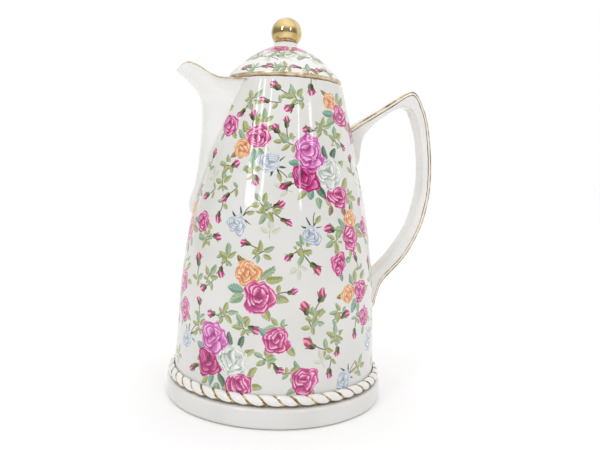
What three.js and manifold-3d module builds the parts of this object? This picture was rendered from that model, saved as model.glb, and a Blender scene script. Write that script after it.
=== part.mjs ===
// A porcelain insulated jug: a painted shell with spout and handle, which screws onto a round base.
// A double-walled glass liner stands on the base. A domed lid with a gilded ball turns on the stopper.
// Millimetres, +Z up, origin at the centre of the base's underside, handle towards +X, spout towards -X.
import * as THREE from 'three';
import { mergeVertices } from 'three/addons/utils/BufferGeometryUtils.js';
import Module from 'manifold-3d';

const wasm = await Module();
wasm.setup();

// ---- driving dimensions ----
const GAP = 0.3;                 // clearance between neighbouring pieces
const OUTER_SIDES = 40;          // facets round the pieces that show
const INNER_SIDES = 24;          // facets round the pieces inside
const SMALL_SIDES = 20;          // facets round the small turned pieces

const BASE_R = 75;               // round base
const BASE_H = 12.6;
const BASE_FLOOR = 4;
const SPIGOT_R = 61;             // screw spigot of the base
const SPIGOT_WALL = 3;
const SPIGOT_TOP = 30;

const SHELL_BOTTOM = 13.3;
const SHELL_TOP = 213.5;
const SHELL_WALL = 4.2;
const SHELL_FOOT_IN_R = 64.5;    // inside radius of the thick foot of the shell
const SHELL_FOOT_H = 34;
// radius and height along the outside of the shell, from the foot to the rim
const SHELL_OUTLINE = [
  [69.9, SHELL_BOTTOM], [68.9, 40], [67.0, 75], [63.9, 103],
  [59.1, 131], [52.7, 158.3], [46.6, 186], [39.6, SHELL_TOP],
];
const ROPE_Z = 16.5;             // twisted moulding round the foot of the shell
const ROPE_R = 74.2;
const ROPE_HALF_H = 3.3;

const LINER_R = 50;              // outer glass bottle
const LINER_WALL = 1.6;
const LINER_SPACE = 3.9;         // room between the two bottles
const LINER_DOME_STEP = 5.5;     // how much flatter the inner bottle's bottom is
const LINER_DOME_Z = 50;         // centre of the rounded bottom
const LINER_DOME_H = 34;
const LINER_SHOULDER_Z = 118;
const LINER_NECK_Z = 178;
const NECK_R = 27;
const MOUTH_R = 22;
const MOUTH_TOP = 202.4;

const STOPPER_R = 20;
const STOPPER_BOTTOM = 176;
const CAP_R = 25.5;              // flange of the stopper, over the liner's mouth
const CAP_Z = 203;
const CAP_H = 3;
const STUD_R = 2;
const DISC_R = 34.9;             // plastic disc that fills the shell's rim under the lid
const DISC_Z = 206.4;
const DISC_TOP = 213.4;

const LID_Z = 213.8;
const LID_COLLAR_R = 8.4;
const LID_COLLAR_TOP = 241.4;
// radius and height along the outside of the lid, above its gilded rim
const LID_OUTLINE = [
  [38.5, 216.9], [36.2, 219.9], [29.3, 226.4], [22.2, 232.2], [13.2, 237.0], [8.8, 238.6],
];
const KNOB_R = 10.4;
const KNOB_Z = 248.6;

const HANDLE_WIDTH = 14;
const HANDLE_ROUND = 1.8;
const POUR_WALL = 3;             // wall of the spout
const CHANNEL_Z = 199;           // floor of the pouring channel

// ---- colours ----
const finish = (color, roughness, metalness = 0) => ({ color, roughness, metalness });
const PORCELAIN = finish(0xf1f0ec, 0.12);
const GOLD = finish(0xc8932f, 0.12, 1);
const WHITE_PLASTIC = finish(0xe9e7e0, 0.4);
const IVORY_PLASTIC = finish(0xded8c8, 0.45);
const RUBBER = finish(0x6f6b66, 0.85);
const SILICONE = finish(0xd8d4cb, 0.6);
const SILVERED = finish(0xd4d8dc, 0.05, 1);
const PAD = finish(0x9a9388, 0.9);
const FOAM = finish(0xefe9d2, 0.95);
const STEEL = finish(0xb4b6b8, 0.3, 1);
const BRASS = finish(0xb8923f, 0.3, 1);

// ---- helpers ----
const pot = new THREE.Group();
const v2 = ([x, y]) => new THREE.Vector2(x, y);
const smooth = (points, steps) => (
  new THREE.SplineCurve(points.map(v2)).getPoints(steps).map((p) => [p.x, p.y])
);
const mirrored = (side) => [...side].reverse();

function place(name, geometry, look) {
  const mesh = new THREE.Mesh(geometry, new THREE.MeshStandardMaterial(look));
  mesh.name = name;
  pot.add(mesh);
}

// position-only copy with shared corners and no collapsed triangles
function welded(geometry) {
  const bare = geometry.clone();
  bare.deleteAttribute('normal');
  bare.deleteAttribute('uv');
  const joined = mergeVertices(bare, 1e-4);
  const index = joined.index.array;
  const kept = [];
  for (let i = 0; i < index.length; i += 3) {
    const [a, b, c] = [index[i], index[i + 1], index[i + 2]];
    if (a !== b && b !== c && c !== a) kept.push(a, b, c);
  }
  joined.setIndex(kept);
  return joined;
}

function toSolid(geometry) {
  const mesh = welded(geometry);
  return new wasm.Manifold(new wasm.Mesh({
    numProp: 3,
    vertProperties: new Float32Array(mesh.attributes.position.array),
    triVerts: new Uint32Array(mesh.index.array),
  }));
}

function toGeometry(solid) {
  const { vertProperties, triVerts } = solid.getMesh();
  const geometry = new THREE.BufferGeometry();
  geometry.setAttribute('position', new THREE.BufferAttribute(new Float32Array(vertProperties), 3));
  geometry.setIndex(Array.from(triVerts));
  return geometry;
}

// a profile of [radius, height] points turned about Z; a profile off the axis closes on itself
function turned(profile, sides) {
  const area = profile.reduce((sum, [r, z], i) => {
    const [nextR, nextZ] = profile[(i + 1) % profile.length];
    return sum + r * nextZ - nextR * z;
  }, 0);
  const outline = (area < 0 ? mirrored(profile) : profile).map(v2);
  const onAxis = outline.some((p) => p.x === 0);
  if (onAxis) {
    while (!(outline[0].x === 0 && outline[outline.length - 1].x === 0)) outline.push(outline.shift());
  } else {
    outline.push(outline[0].clone());
  }
  return welded(new THREE.LatheGeometry(outline, sides).rotateX(Math.PI / 2));
}

const ringProfile = (innerR, outerR, z0, z1) => [[innerR, z0], [outerR, z0], [outerR, z1], [innerR, z1]];

// closed solid through rings of points, each ring going the same way round as seen from above
function loft(rings) {
  const count = rings[0].length;
  const positions = rings.flat().flatMap((p) => [p.x, p.y, p.z]);
  const index = [];
  const at = (ring, i) => ring * count + (i % count);
  for (let ring = 0; ring < rings.length - 1; ring += 1) {
    for (let i = 0; i < count; i += 1) {
      index.push(at(ring, i), at(ring, i + 1), at(ring + 1, i + 1));
      index.push(at(ring, i), at(ring + 1, i + 1), at(ring + 1, i));
    }
  }
  for (const [ring, turn] of [[0, -1], [rings.length - 1, 1]]) {
    const middle = rings[ring].reduce((sum, p) => sum.add(p), new THREE.Vector3()).divideScalar(count);
    const centre = positions.length / 3;
    positions.push(middle.x, middle.y, middle.z);
    for (let i = 0; i < count; i += 1) {
      const [a, b] = turn > 0 ? [at(ring, i), at(ring, i + 1)] : [at(ring, i + 1), at(ring, i)];
      index.push(centre, a, b);
    }
  }
  const geometry = new THREE.BufferGeometry();
  geometry.setAttribute('position', new THREE.Float32BufferAttribute(positions, 3));
  geometry.setIndex(index);
  return geometry;
}

// ---- base ----
place('base_cover', turned([
  [0, 0], [BASE_R - 2.6, 0], [BASE_R - 1, 0.5], [BASE_R, 2.4], [BASE_R, BASE_H - 2.2],
  [BASE_R - 0.6, BASE_H - 0.7], [BASE_R - 2, BASE_H], [69.3, BASE_H], [69.3, BASE_H - 1.3],
  [65.1, BASE_H - 1.3], [65.1, BASE_H], [SPIGOT_R + 3, BASE_H], [SPIGOT_R + 3, BASE_FLOOR],
  [SPIGOT_R, BASE_FLOOR], [SPIGOT_R, SPIGOT_TOP], [SPIGOT_R - SPIGOT_WALL, SPIGOT_TOP],
  [SPIGOT_R - SPIGOT_WALL, BASE_FLOOR], [0, BASE_FLOOR],
], OUTER_SIDES), WHITE_PLASTIC);

place('base_gasket', turned(ringProfile(65.5, 68.9, BASE_H - 1, SHELL_BOTTOM - GAP), OUTER_SIDES), RUBBER);

// ---- glass liner ----
const domeZ = (r, radius, height) => LINER_DOME_Z - height * Math.sqrt(1 - (r / radius) ** 2);

// outside line of a bottle from its bottom on the axis to the top of its neck
function bottleLine(radius, domeHeight, neckR, neckTop) {
  const line = [];
  for (const share of [0, 0.3, 0.6, 0.85]) {
    line.push([radius * share, domeZ(radius * share, radius, domeHeight)]);
  }
  line.push([radius, LINER_DOME_Z]);
  const shoulder = new THREE.CubicBezierCurve(
    v2([radius, LINER_SHOULDER_Z]), v2([radius, LINER_SHOULDER_Z + 26]),
    v2([neckR, LINER_NECK_Z - 26]), v2([neckR, LINER_NECK_Z]),
  );
  for (const p of shoulder.getPoints(4)) line.push([p.x, p.y]);
  line.push([neckR, neckTop]);
  return line;
}

const linerIn = LINER_R - LINER_WALL - LINER_SPACE;
const rimZ = MOUTH_TOP - 2.4;
place('liner_outer_bottle', turned([
  ...bottleLine(LINER_R, LINER_DOME_H, NECK_R, rimZ - GAP),
  ...mirrored(bottleLine(
    LINER_R - LINER_WALL, LINER_DOME_H - LINER_WALL, NECK_R - LINER_WALL, rimZ - GAP,
  )),
], INNER_SIDES), SILVERED);
place('liner_inner_bottle', turned([
  ...bottleLine(linerIn, LINER_DOME_H - LINER_DOME_STEP, MOUTH_R + LINER_WALL, rimZ),
  [NECK_R - 0.6, rimZ], [NECK_R, rimZ + 1.2], [NECK_R - 0.8, MOUTH_TOP], [MOUTH_R + 0.6, MOUTH_TOP],
  ...mirrored(bottleLine(
    linerIn - LINER_WALL, LINER_DOME_H - LINER_DOME_STEP - LINER_WALL, MOUTH_R, rimZ + 1.4,
  )),
], INNER_SIDES), SILVERED);

// three pads that hold the two bottles apart
const PAD_SIZE = 8;
const PAD_THICKNESS = 2.4;
const PAD_Z = LINER_DOME_Z + 12;
for (let i = 0; i < 3; i += 1) {
  const pad = new THREE.BoxGeometry(PAD_THICKNESS, PAD_SIZE, PAD_SIZE);
  pad.translate(linerIn + LINER_SPACE / 2, 0, PAD_Z).rotateZ((i * 2 * Math.PI) / 3);
  place(`liner_pad_${i + 1}`, pad, PAD);
}

const seatZ = (r) => domeZ(r, LINER_R, LINER_DOME_H) - 0.6;
place('bottom_cushion', turned([
  [14, BASE_FLOOR + GAP], [41, BASE_FLOOR + GAP], [43, 8], [43, 27], [40, 28],
  [36, seatZ(36)], [28, seatZ(28)], [20, seatZ(20)], [14, seatZ(14)],
], INNER_SIDES), RUBBER);

// ---- shell ----
const shellLine = smooth(SHELL_OUTLINE, 12);
const shellInside = shellLine.filter(([, z]) => z > SHELL_FOOT_H + 4).map(([r, z]) => [r - SHELL_WALL, z]);
const shellBlank = turned([
  ...shellLine, ...mirrored(shellInside), [SHELL_FOOT_IN_R, SHELL_FOOT_H], [SHELL_FOOT_IN_R, SHELL_BOTTOM],
], OUTER_SIDES);
// room that the pieces luted onto the shell leave for it, and for the lid to lift and turn
const LID_ROOM_R = 40;
const LID_ROOM_TOP = 240;
const shellRoom = toSolid(turned([
  [0, SHELL_BOTTOM], ...shellLine.map(([r, z]) => [r + GAP, z]),
  [LID_ROOM_R, SHELL_TOP], [LID_ROOM_R, LID_ROOM_TOP], [0, LID_ROOM_TOP],
], OUTER_SIDES));

// ---- spout ----
// reach and height along the front of the spout, from the tip of its apron to the pouring lip
const SPOUT_FRONT = [
  [60.3, 121.8], [62.7, 126.5], [62.4, 133], [58.9, 146], [56.6, 166],
  [55.7, 187], [57.3, 201.3], [64.3, 210.4], [73.2, 217.8],
];
// height on the shell and half angle at which the apron meets it
const SPOUT_EDGE = [
  [121.8, 2], [128, 4], [143, 8.5], [164, 14], [181, 24], [196, 31], [204, 37], [214.5, 44],
];
// reach and height along the lip, from the lid to the tip
const LIP = [
  [30, 211.8], [41, 212.2], [48, 213.2], [54, 216.2], [59.2, 219.8], [65, 222.2], [69.5, 221], [73.2, 217.8],
];
const SPOUT_LEVELS = 17;
const SPOUT_POINTS = 14;
const BEND_SHARE = 0.8;          // above this share the sides of the spout bend up to the lip
const frontCurve = new THREE.SplineCurve(SPOUT_FRONT.map(v2));
const edgeCurve = new THREE.SplineCurve(SPOUT_EDGE.map(v2));
const shellCurve = new THREE.SplineCurve(SHELL_OUTLINE.map(v2));

function crossing(points, value, key, result) {
  for (let i = 1; i < points.length; i += 1) {
    const [low, high] = [points[i - 1], points[i]];
    if (value <= high[key] || i === points.length - 1) {
      return low[result] + ((value - low[key]) / (high[key] - low[key])) * (high[result] - low[result]);
    }
  }
  return points[0][result];
}
const shellR = (z) => crossing(shellCurve.getPoints(60).map((p) => [p.x, p.y]), z, 1, 0);
const lipLine = smooth(LIP, 40);
const lipZ = (reach) => crossing(lipLine, reach, 0, 1);

// one ring of the spout: share 0 at the apron's tip, 1 at the lip; inset shrinks it to the channel
function spoutRing(share, inset, rise) {
  const front = frontCurve.getPoint(share);
  const edge = edgeCurve.getPoint(share);
  const rootR = shellR(Math.min(edge.x, SHELL_TOP));
  const rootX = rootR * Math.cos(THREE.MathUtils.degToRad(edge.y));
  const halfWidth = rootR * Math.sin(THREE.MathUtils.degToRad(edge.y)) - inset * 1.15;
  const reach = front.x - inset;
  const lift = THREE.MathUtils.smoothstep(share, BEND_SHARE, 1);
  const ring = [];
  for (let i = 0; i <= SPOUT_POINTS; i += 1) {
    const across = (i / SPOUT_POINTS) * 2 - 1;
    const forward = Math.cos((across * Math.PI) / 2) ** (1.35 + 0.5 * lift);
    const x = rootX + (reach - rootX) * forward;
    const level = edge.x + (front.y - edge.x) * forward;
    const bend = THREE.MathUtils.smoothstep(share, BEND_SHARE + (0.99 - BEND_SHARE) * forward, 1);
    const z = level + bend * (lipZ(x) - level) + rise;
    ring.push(new THREE.Vector3(-x, -halfWidth * Math.sin((across * Math.PI) / 2), z));
  }
  const back = rootX - 14;
  ring.push(new THREE.Vector3(-back, -halfWidth, edge.x + rise));
  ring.push(new THREE.Vector3(-back, halfWidth, edge.x + rise));
  return ring;
}

const shares = Array.from({ length: SPOUT_LEVELS + 1 }, (_, i) => i / SPOUT_LEVELS);
const spoutBlank = toSolid(loft(shares.map((share) => spoutRing(share, 0, 0))));
const CHANNEL_START = 0.72;
const channelShares = shares.filter((share) => share >= CHANNEL_START);
const channelRings = channelShares.map((share) => spoutRing(share, POUR_WALL * (1 - 0.25 * share), 0.4));
channelRings.push(spoutRing(1, POUR_WALL * 0.75, 14));
const channelFloor = channelRings[0].map((p) => new THREE.Vector3(p.x, p.y, CHANNEL_Z));
const channel = toSolid(loft([channelFloor, ...channelRings.slice(1)]));
place('spout', toGeometry(spoutBlank.subtract(shellRoom).subtract(channel)), PORCELAIN);
place('body_shell', toGeometry(toSolid(shellBlank).subtract(channel)), PORCELAIN);

// ---- handle ----
const handleOuter = [
  [49.8, 188.6], [70, 202.2], [86.5, 213], [92.5, 214.8], [96.5, 211.8], [102, 201.5],
  [106.8, 183.5], [109.5, 160], [109.3, 142], [105.8, 123], [100.5, 109.3], [92.6, 95.6],
  [81.2, 82.6], [75.4, 76.4], [72.6, 67], [71, 59.5],
];
const handleInner = [
  [70, 85.8], [80.6, 96.6], [89.2, 108.2], [96.6, 122.8], [102, 146], [101.6, 168], [98.2, 186],
  [93.4, 200], [86, 203.2], [74.5, 197.8], [63.8, 189.6], [57.0, 181], [55.0, 172], [54.8, 163],
  [53.4, 158.6],
];
const handleOutline = new THREE.Shape([
  [42, 183], ...smooth(handleOuter, 38), [63, 56], [59, 83], ...smooth(handleInner, 34), [44, 155],
].map(v2));
const handleBlank = new THREE.ExtrudeGeometry(handleOutline, {
  depth: HANDLE_WIDTH - 2 * HANDLE_ROUND,
  bevelSize: HANDLE_ROUND,
  bevelOffset: -HANDLE_ROUND,
  bevelThickness: HANDLE_ROUND,
  bevelSegments: 2,
});
handleBlank.rotateX(Math.PI / 2).translate(0, HANDLE_WIDTH / 2 - HANDLE_ROUND, 0);
place('handle', toGeometry(toSolid(handleBlank).subtract(shellRoom)), PORCELAIN);

// ---- rope moulding, thread ring and pouring collar, all fixed in or on the shell ----
const ropeInR = SHELL_OUTLINE[0][0] + GAP;
const ropeProfile = [];
for (let i = 0; i <= 6; i += 1) {
  const turn = (i / 6) * Math.PI - Math.PI / 2;
  ropeProfile.push([ropeInR + (ROPE_R - ropeInR) * Math.cos(turn), ROPE_Z + ROPE_HALF_H * Math.sin(turn)]);
}
place('rope_moulding', turned(ropeProfile, OUTER_SIDES), PORCELAIN);

const THREAD_BOTTOM = 14;
const THREAD_TOP = 31.5;
const threadProfile = ringProfile(SPIGOT_R + 0.4, SHELL_FOOT_IN_R - GAP, THREAD_BOTTOM, THREAD_TOP);
place('thread_ring', turned(threadProfile, OUTER_SIDES), IVORY_PLASTIC);

const HUB_R = 30.2;
place('pour_collar', turned([
  [HUB_R, 184], [32, 184], [32, 188.5], [40.1, 192.4], [39.8, 194.4], [38.4, 195], [32, 191.6],
  [32, 198.5], [HUB_R, 198.5],
], OUTER_SIDES), WHITE_PLASTIC);
place('neck_seal', turned([
  [NECK_R + 0.4, 186], [HUB_R - 0.4, 186], [HUB_R - 0.4, 196.5], [NECK_R + 0.4, 196.5], [NECK_R + 1, 191],
], INNER_SIDES), SILICONE);

// ---- stopper ----
place('stopper_body', turned([
  [0, STOPPER_BOTTOM], [STOPPER_R - 2.4, STOPPER_BOTTOM], [STOPPER_R - 1, STOPPER_BOTTOM + 2],
  [STOPPER_R, CAP_Z - GAP], [STOPPER_R - 2, CAP_Z - GAP], [STOPPER_R - 3, STOPPER_BOTTOM + 3],
  [0, STOPPER_BOTTOM + 3],
], INNER_SIDES), WHITE_PLASTIC);
place('stopper_seal', turned([
  [STOPPER_R + GAP, 188], [STOPPER_R + 1.5, 189.5], [STOPPER_R + 0.9, 192], [STOPPER_R + 1.5, 194.5],
  [STOPPER_R + GAP, 196],
], INNER_SIDES), SILICONE);
place('stopper_core', turned([[0, STOPPER_BOTTOM + 3.4], [15.4, STOPPER_BOTTOM + 3.4], [15.4, 194], [0, 194]],
  SMALL_SIDES), FOAM);
place('stopper_cap', turned([
  [STUD_R + 0.4, CAP_Z], [15.2, CAP_Z], [15.2, CAP_Z - 7], [17, CAP_Z - 7], [17.2, CAP_Z], [CAP_R, CAP_Z],
  [CAP_R, CAP_Z + CAP_H - 1], [CAP_R - 1, CAP_Z + CAP_H], [STUD_R + 0.4, CAP_Z + CAP_H],
], INNER_SIDES), WHITE_PLASTIC);

// ---- lid, which turns on the stopper about its stud ----
const discBlank = toSolid(turned([
  [STUD_R + 0.4, DISC_Z], [DISC_R - 0.8, DISC_Z], [DISC_R, DISC_Z + 0.8], [DISC_R, DISC_TOP],
  [DISC_R - 2.4, DISC_TOP],
  [DISC_R - 2.4, DISC_Z + 2.6], [STUD_R + 0.4, DISC_Z + 2.6],
], OUTER_SIDES));
const NOTCH_WIDTH = 22;
const notch = new THREE.BoxGeometry(7, NOTCH_WIDTH, 9).translate(-DISC_R - 0.5, 0, DISC_Z + 1.5);
place('lid_disc', toGeometry(discBlank.subtract(toSolid(notch))), WHITE_PLASTIC);

place('lid_dome', turned([
  [34, LID_Z], [38.1, LID_Z], [39, LID_Z + 0.9], [39.2, LID_Z + 1.7], [38.9, LID_Z + 2.7],
  ...smooth(LID_OUTLINE, 7), [LID_COLLAR_R, 239], [LID_COLLAR_R, LID_COLLAR_TOP], [STUD_R + 0.6, LID_COLLAR_TOP],
  [STUD_R + 0.6, 235.6], [11, 234.6], [20.6, 229.2], [27.2, 223.8], [33, 218.4],
], OUTER_SIDES), PORCELAIN);

const STUD_TOP = KNOB_Z + 1;
const knobSeatZ = LID_COLLAR_TOP + GAP;
const knobProfile = [[0, KNOB_Z + KNOB_R]];
const KNOB_STEPS = 9;
const seatTurn = Math.acos((knobSeatZ - KNOB_Z) / KNOB_R);
for (let i = 1; i <= KNOB_STEPS; i += 1) {
  const turn = (i / KNOB_STEPS) * seatTurn;
  knobProfile.push([KNOB_R * Math.sin(turn), KNOB_Z + KNOB_R * Math.cos(turn)]);
}
knobProfile.push([STUD_R + GAP, knobSeatZ], [STUD_R + GAP, STUD_TOP + GAP], [0, STUD_TOP + GAP]);
place('knob_ball', turned(knobProfile, SMALL_SIDES), GOLD);
place('knob_stud', turned([[0, 197], [STUD_R, 197], [STUD_R, STUD_TOP], [0, STUD_TOP]], 12), STEEL);
place('stud_washer', turned(ringProfile(STUD_R + GAP, 5.5, CAP_Z - 1.1, CAP_Z - GAP), SMALL_SIDES), STEEL);

const NUT_H = 3;
const nut = toSolid(turned([[0, 0], [4.05, 0], [4.05, NUT_H], [0, NUT_H]], 6));
const nutBore = [[0, -1], [STUD_R + GAP, -1], [STUD_R + GAP, NUT_H + 1], [0, NUT_H + 1]];
const nutHole = toSolid(turned(nutBore, 12));
place('stud_nut', toGeometry(nut.subtract(nutHole)).translate(0, 0, CAP_Z - 1.4 - NUT_H), BRASS);

export default pot;
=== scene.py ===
"""Looks for the porcelain insulated jug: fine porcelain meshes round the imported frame, printed roses,
gilding, and a procedural material for every piece inside. Metres, in the frame's own axes."""
import math

import bpy
import numpy as np
from mathutils import Matrix, Vector


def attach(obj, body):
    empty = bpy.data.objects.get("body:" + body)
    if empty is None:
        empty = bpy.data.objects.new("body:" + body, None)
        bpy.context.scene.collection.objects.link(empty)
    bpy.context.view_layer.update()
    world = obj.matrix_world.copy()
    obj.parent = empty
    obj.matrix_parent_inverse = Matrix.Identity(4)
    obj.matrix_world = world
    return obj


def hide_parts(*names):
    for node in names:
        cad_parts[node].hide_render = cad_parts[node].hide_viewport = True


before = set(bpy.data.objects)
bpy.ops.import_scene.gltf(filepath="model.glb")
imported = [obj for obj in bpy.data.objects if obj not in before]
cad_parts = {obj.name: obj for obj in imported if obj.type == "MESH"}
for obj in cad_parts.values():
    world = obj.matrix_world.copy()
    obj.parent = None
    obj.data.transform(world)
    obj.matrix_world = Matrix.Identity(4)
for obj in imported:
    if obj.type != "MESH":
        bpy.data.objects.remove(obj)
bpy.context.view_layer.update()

MM = 0.001
TAU = math.tau

# ---------------------------------------------------------------- camera
CAMERA_AT = (-72.5, -411.1, 152.1)     # millimetres from the base's centre
CAMERA_TURN = 12.0                     # degrees from +Y towards +X
CAMERA_PITCH = 4.78
CAMERA_ROLL = 2.31
CAMERA_LENS = 35.68


def make_camera():
    turn, pitch, roll = (math.radians(a) for a in (CAMERA_TURN, CAMERA_PITCH, CAMERA_ROLL))
    forward = Vector((math.sin(turn) * math.cos(pitch), math.cos(turn) * math.cos(pitch), -math.sin(pitch)))
    level = forward.cross(Vector((0, 0, 1))).normalized()
    up = level.cross(forward)
    right = level * math.cos(roll) + up * math.sin(roll)
    up = right.cross(forward)
    camera = bpy.data.objects.new("camera", bpy.data.cameras.new("camera"))
    camera.data.lens = CAMERA_LENS
    camera.data.clip_start = 0.01
    place = Matrix((right, up, -forward)).transposed().to_4x4()
    place.translation = Vector(CAMERA_AT) * MM
    camera.matrix_world = place
    bpy.context.scene.collection.objects.link(camera)
    bpy.context.scene.camera = camera


make_camera()
bpy.context.scene.view_settings.view_transform = "Standard"


# ---------------------------------------------------------------- shapes
def spline(points, steps):
    """Smooth curve (Catmull-Rom) through a list of points, as steps + 1 rows."""
    p = np.array(points, float)
    p = np.vstack([2 * p[0] - p[1], p, 2 * p[-1] - p[-2]])
    t = np.linspace(0, len(points) - 1, steps + 1)
    k = np.minimum(t.astype(int), len(points) - 2)
    u = (t - k)[:, None]
    a, b, c, d = p[k], p[k + 1], p[k + 2], p[k + 3]
    return 0.5 * (2 * b + (c - a) * u + (2 * a - 5 * b + 4 * c - d) * u**2 + (3 * b - a - 3 * c + d) * u**3)


def smoothstep(x, low, high):
    u = np.clip((x - low) / (high - low), 0, 1)
    return u * u * (3 - 2 * u)


def grid_faces(rows, columns, wrap):
    """Quads over a grid of points, row by row; wrap joins the last column to the first."""
    row = np.arange(rows - 1)[:, None] * columns
    column = np.arange(columns if wrap else columns - 1)[None]
    after = (column + 1) % columns
    corners = [row + column, row + after, row + columns + after, row + columns + column]
    return np.stack(corners, -1).reshape(-1, 4)


def make_piece(name, points, faces, body, node, sharp=50):
    """A smooth-shaded closed mesh from millimetre points, riding on body in place of a CAD node."""
    mesh = bpy.data.meshes.new(name)
    mesh.from_pydata((np.asarray(points) * MM).tolist(), [], [list(f) for f in faces])
    mesh.validate()
    mesh.update()
    piece = bpy.data.objects.new(name, mesh)
    bpy.context.scene.collection.objects.link(piece)
    mesh.shade_smooth()
    mesh.set_sharp_from_angle(angle=math.radians(sharp))
    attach(piece, body)
    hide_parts(node)
    return piece


def turned(name, profile, body, node, sides=192):
    """A closed profile of (radius, height) turned about Z. Points on the axis become one point."""
    profile = np.array(profile, float)
    angle = np.arange(sides) * TAU / sides
    points, rings = [], []
    for radius, height in profile:
        if radius < 1e-6:
            rings.append([len(points)] * sides)
            points.append((0, 0, height))
        else:
            rings.append(list(range(len(points), len(points) + sides)))
            points += [(radius * c, radius * s, height) for c, s in zip(np.cos(angle), np.sin(angle))]
    faces = []
    for low, high in zip(rings, rings[1:] + rings[:1]):
        for i in range(sides):
            j = (i + 1) % sides
            face = list(dict.fromkeys((low[i], low[j], high[j], high[i])))
            if len(face) > 2:
                faces.append(face)
    return make_piece(name, points, faces, body, node)


def rounded(points, radius, steps):
    """A profile with each corner rounded off; the first and last points stay."""
    points = [np.array(p, float) for p in points]
    out = [points[0]]
    for before, corner, after in zip(points, points[1:], points[2:]):
        back, ahead = before - corner, after - corner
        cut = min(radius, np.linalg.norm(back) / 2, np.linalg.norm(ahead) / 2)
        start = corner + back / np.linalg.norm(back) * cut
        end = corner + ahead / np.linalg.norm(ahead) * cut
        for u in np.linspace(0, 1, steps + 1):
            out.append((1 - u) ** 2 * start + 2 * u * (1 - u) * corner + u**2 * end)
    out.append(points[-1])
    return out


# ---- shell
SHELL_BOTTOM, SHELL_TOP, SHELL_WALL = 13.3, 213.5, 4.2
SHELL_OUTLINE = [
    (69.9, SHELL_BOTTOM), (68.9, 40), (67.0, 75), (63.9, 103),
    (59.1, 131), (52.7, 158.3), (46.6, 186), (39.6, SHELL_TOP),
]
shell_line = spline(SHELL_OUTLINE, 160)
FLUTES = 20
FLUTE_DEPTH = 0.62
NOTCH_FLOOR = 199.5
NOTCH_HALF_ANGLE = 36


def shell_radius(height):
    return np.interp(height, shell_line[:, 1], shell_line[:, 0])


def flute(angle, height):
    """How far the soft flutes dip below the outline; they fade out towards the foot."""
    depth = FLUTE_DEPTH * smoothstep(height, 60, 175)
    return depth * (0.5 - 0.5 * np.cos(FLUTES * angle)) ** 1.5


def rim_height(angle):
    """The shell's rim, level except where it drops behind the spout."""
    off = np.degrees(np.abs((angle % TAU) - math.pi))
    notch = 1 - smoothstep(off, NOTCH_HALF_ANGLE - 9, NOTCH_HALF_ANGLE)
    return SHELL_TOP - (SHELL_TOP - NOTCH_FLOOR) * notch


def make_shell():
    columns, rows = 400, 104
    angle = np.arange(columns) * TAU / columns
    height = np.linspace(SHELL_BOTTOM + 0.6, SHELL_TOP - 0.9, rows)
    bend = 186
    squeeze = np.clip((height - bend) / (SHELL_TOP - bend), 0, None)[:, None]
    level = np.where(squeeze > 0, bend + squeeze * (rim_height(angle)[None] - bend), height[:, None])
    radius = shell_radius(level) - flute(angle[None], level)

    rings = [np.stack([radius * np.cos(angle), radius * np.sin(angle), level], -1)]
    top_z, top_r = level[-1], radius[-1]
    for drop, rise in ((0.25, 0.5), (0.9, 0.85), (1.9, 0.9), (2.9, 0.6)):
        r = top_r - drop
        rings.append(np.stack([r * np.cos(angle), r * np.sin(angle), top_z + rise], -1)[None])
    inside = np.linspace(1, 0, 40)[:, None]
    low = 38
    z = low + inside * (top_z - 0.6 - low)
    r = shell_radius(z) - SHELL_WALL
    rings.append(np.stack([r * np.cos(angle), r * np.sin(angle), z + 0 * angle], -1))
    for r, z in ((64.5, 34), (64.5, SHELL_BOTTOM + 0.4), (64.9, SHELL_BOTTOM), (69.3, SHELL_BOTTOM)):
        rings.append(np.stack([r * np.cos(angle), r * np.sin(angle), z + 0 * angle], -1)[None])
    points = np.concatenate(rings)
    count = len(points)
    faces = grid_faces(count, columns, True)
    last = (count - 1) * columns + np.arange(columns)
    first = np.arange(columns)
    closing = np.stack([last, np.roll(last, -1), np.roll(first, -1), first], -1)
    return make_piece("shell_glazed", points.reshape(-1, 3), np.vstack([faces, closing]), "shell",
                      "body_shell")


# ---- spout
SPOUT_FRONT = [
    (60.3, 121.8), (62.7, 126.5), (62.4, 133), (58.9, 146), (56.6, 166),
    (55.7, 187), (57.3, 201.3), (64.3, 210.4), (73.2, 217.8),
]
SPOUT_EDGE = [(121.8, 2), (128, 4), (143, 8.5), (164, 14), (181, 24), (196, 31), (204, 37), (214.5, 44)]
LIP = [
    (30, 211.8), (41, 212.2), (48, 213.2), (54, 216.2),
    (59.2, 219.8), (65, 222.2), (69.5, 221), (73.2, 217.8),
]
SPOUT_WALL = 2.6
LIP_ROLL = 0.55         # how far the rounded lip stands above its edges
CHANNEL_SHARE = 0.74    # above this share of the height the spout is hollow
BEND_SHARE = 0.8        # above this share its levels bend up to follow the lip
ROOT_SINK = 0.55        # how far the spout's edges reach into the shell, below its flutes
RIM_ROOT = 40.2         # how near the spout's edges come to the axis at the shell's rim


def spout_sheet(front, edge, share, inset, across):
    """Points of the spout's outside (inset 0) or of its channel, for one height share."""
    lip_line = spline(LIP, 80)
    height = edge[0]
    root = shell_radius(min(height, SHELL_TOP)) - ROOT_SINK
    if height > SHELL_TOP - 2:
        root = max(root, RIM_ROOT)
    half = math.radians(edge[1])
    root_x = root * math.cos(half)
    half_width = root * math.sin(half) - inset * 1.15
    reach = front[0] - inset
    lift = smoothstep(share, BEND_SHARE, 1)
    forward = np.cos(across * math.pi / 2) ** (1.35 + 0.5 * lift)
    x = root_x + (reach - root_x) * forward
    level = height + (front[1] - height) * forward
    rise = smoothstep(share, BEND_SHARE + (0.99 - BEND_SHARE) * forward, 1)
    z = level + rise * (np.interp(x, lip_line[:, 0], lip_line[:, 1]) - level)
    return np.stack([-x, half_width * np.sin(across * math.pi / 2), z], -1)


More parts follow.
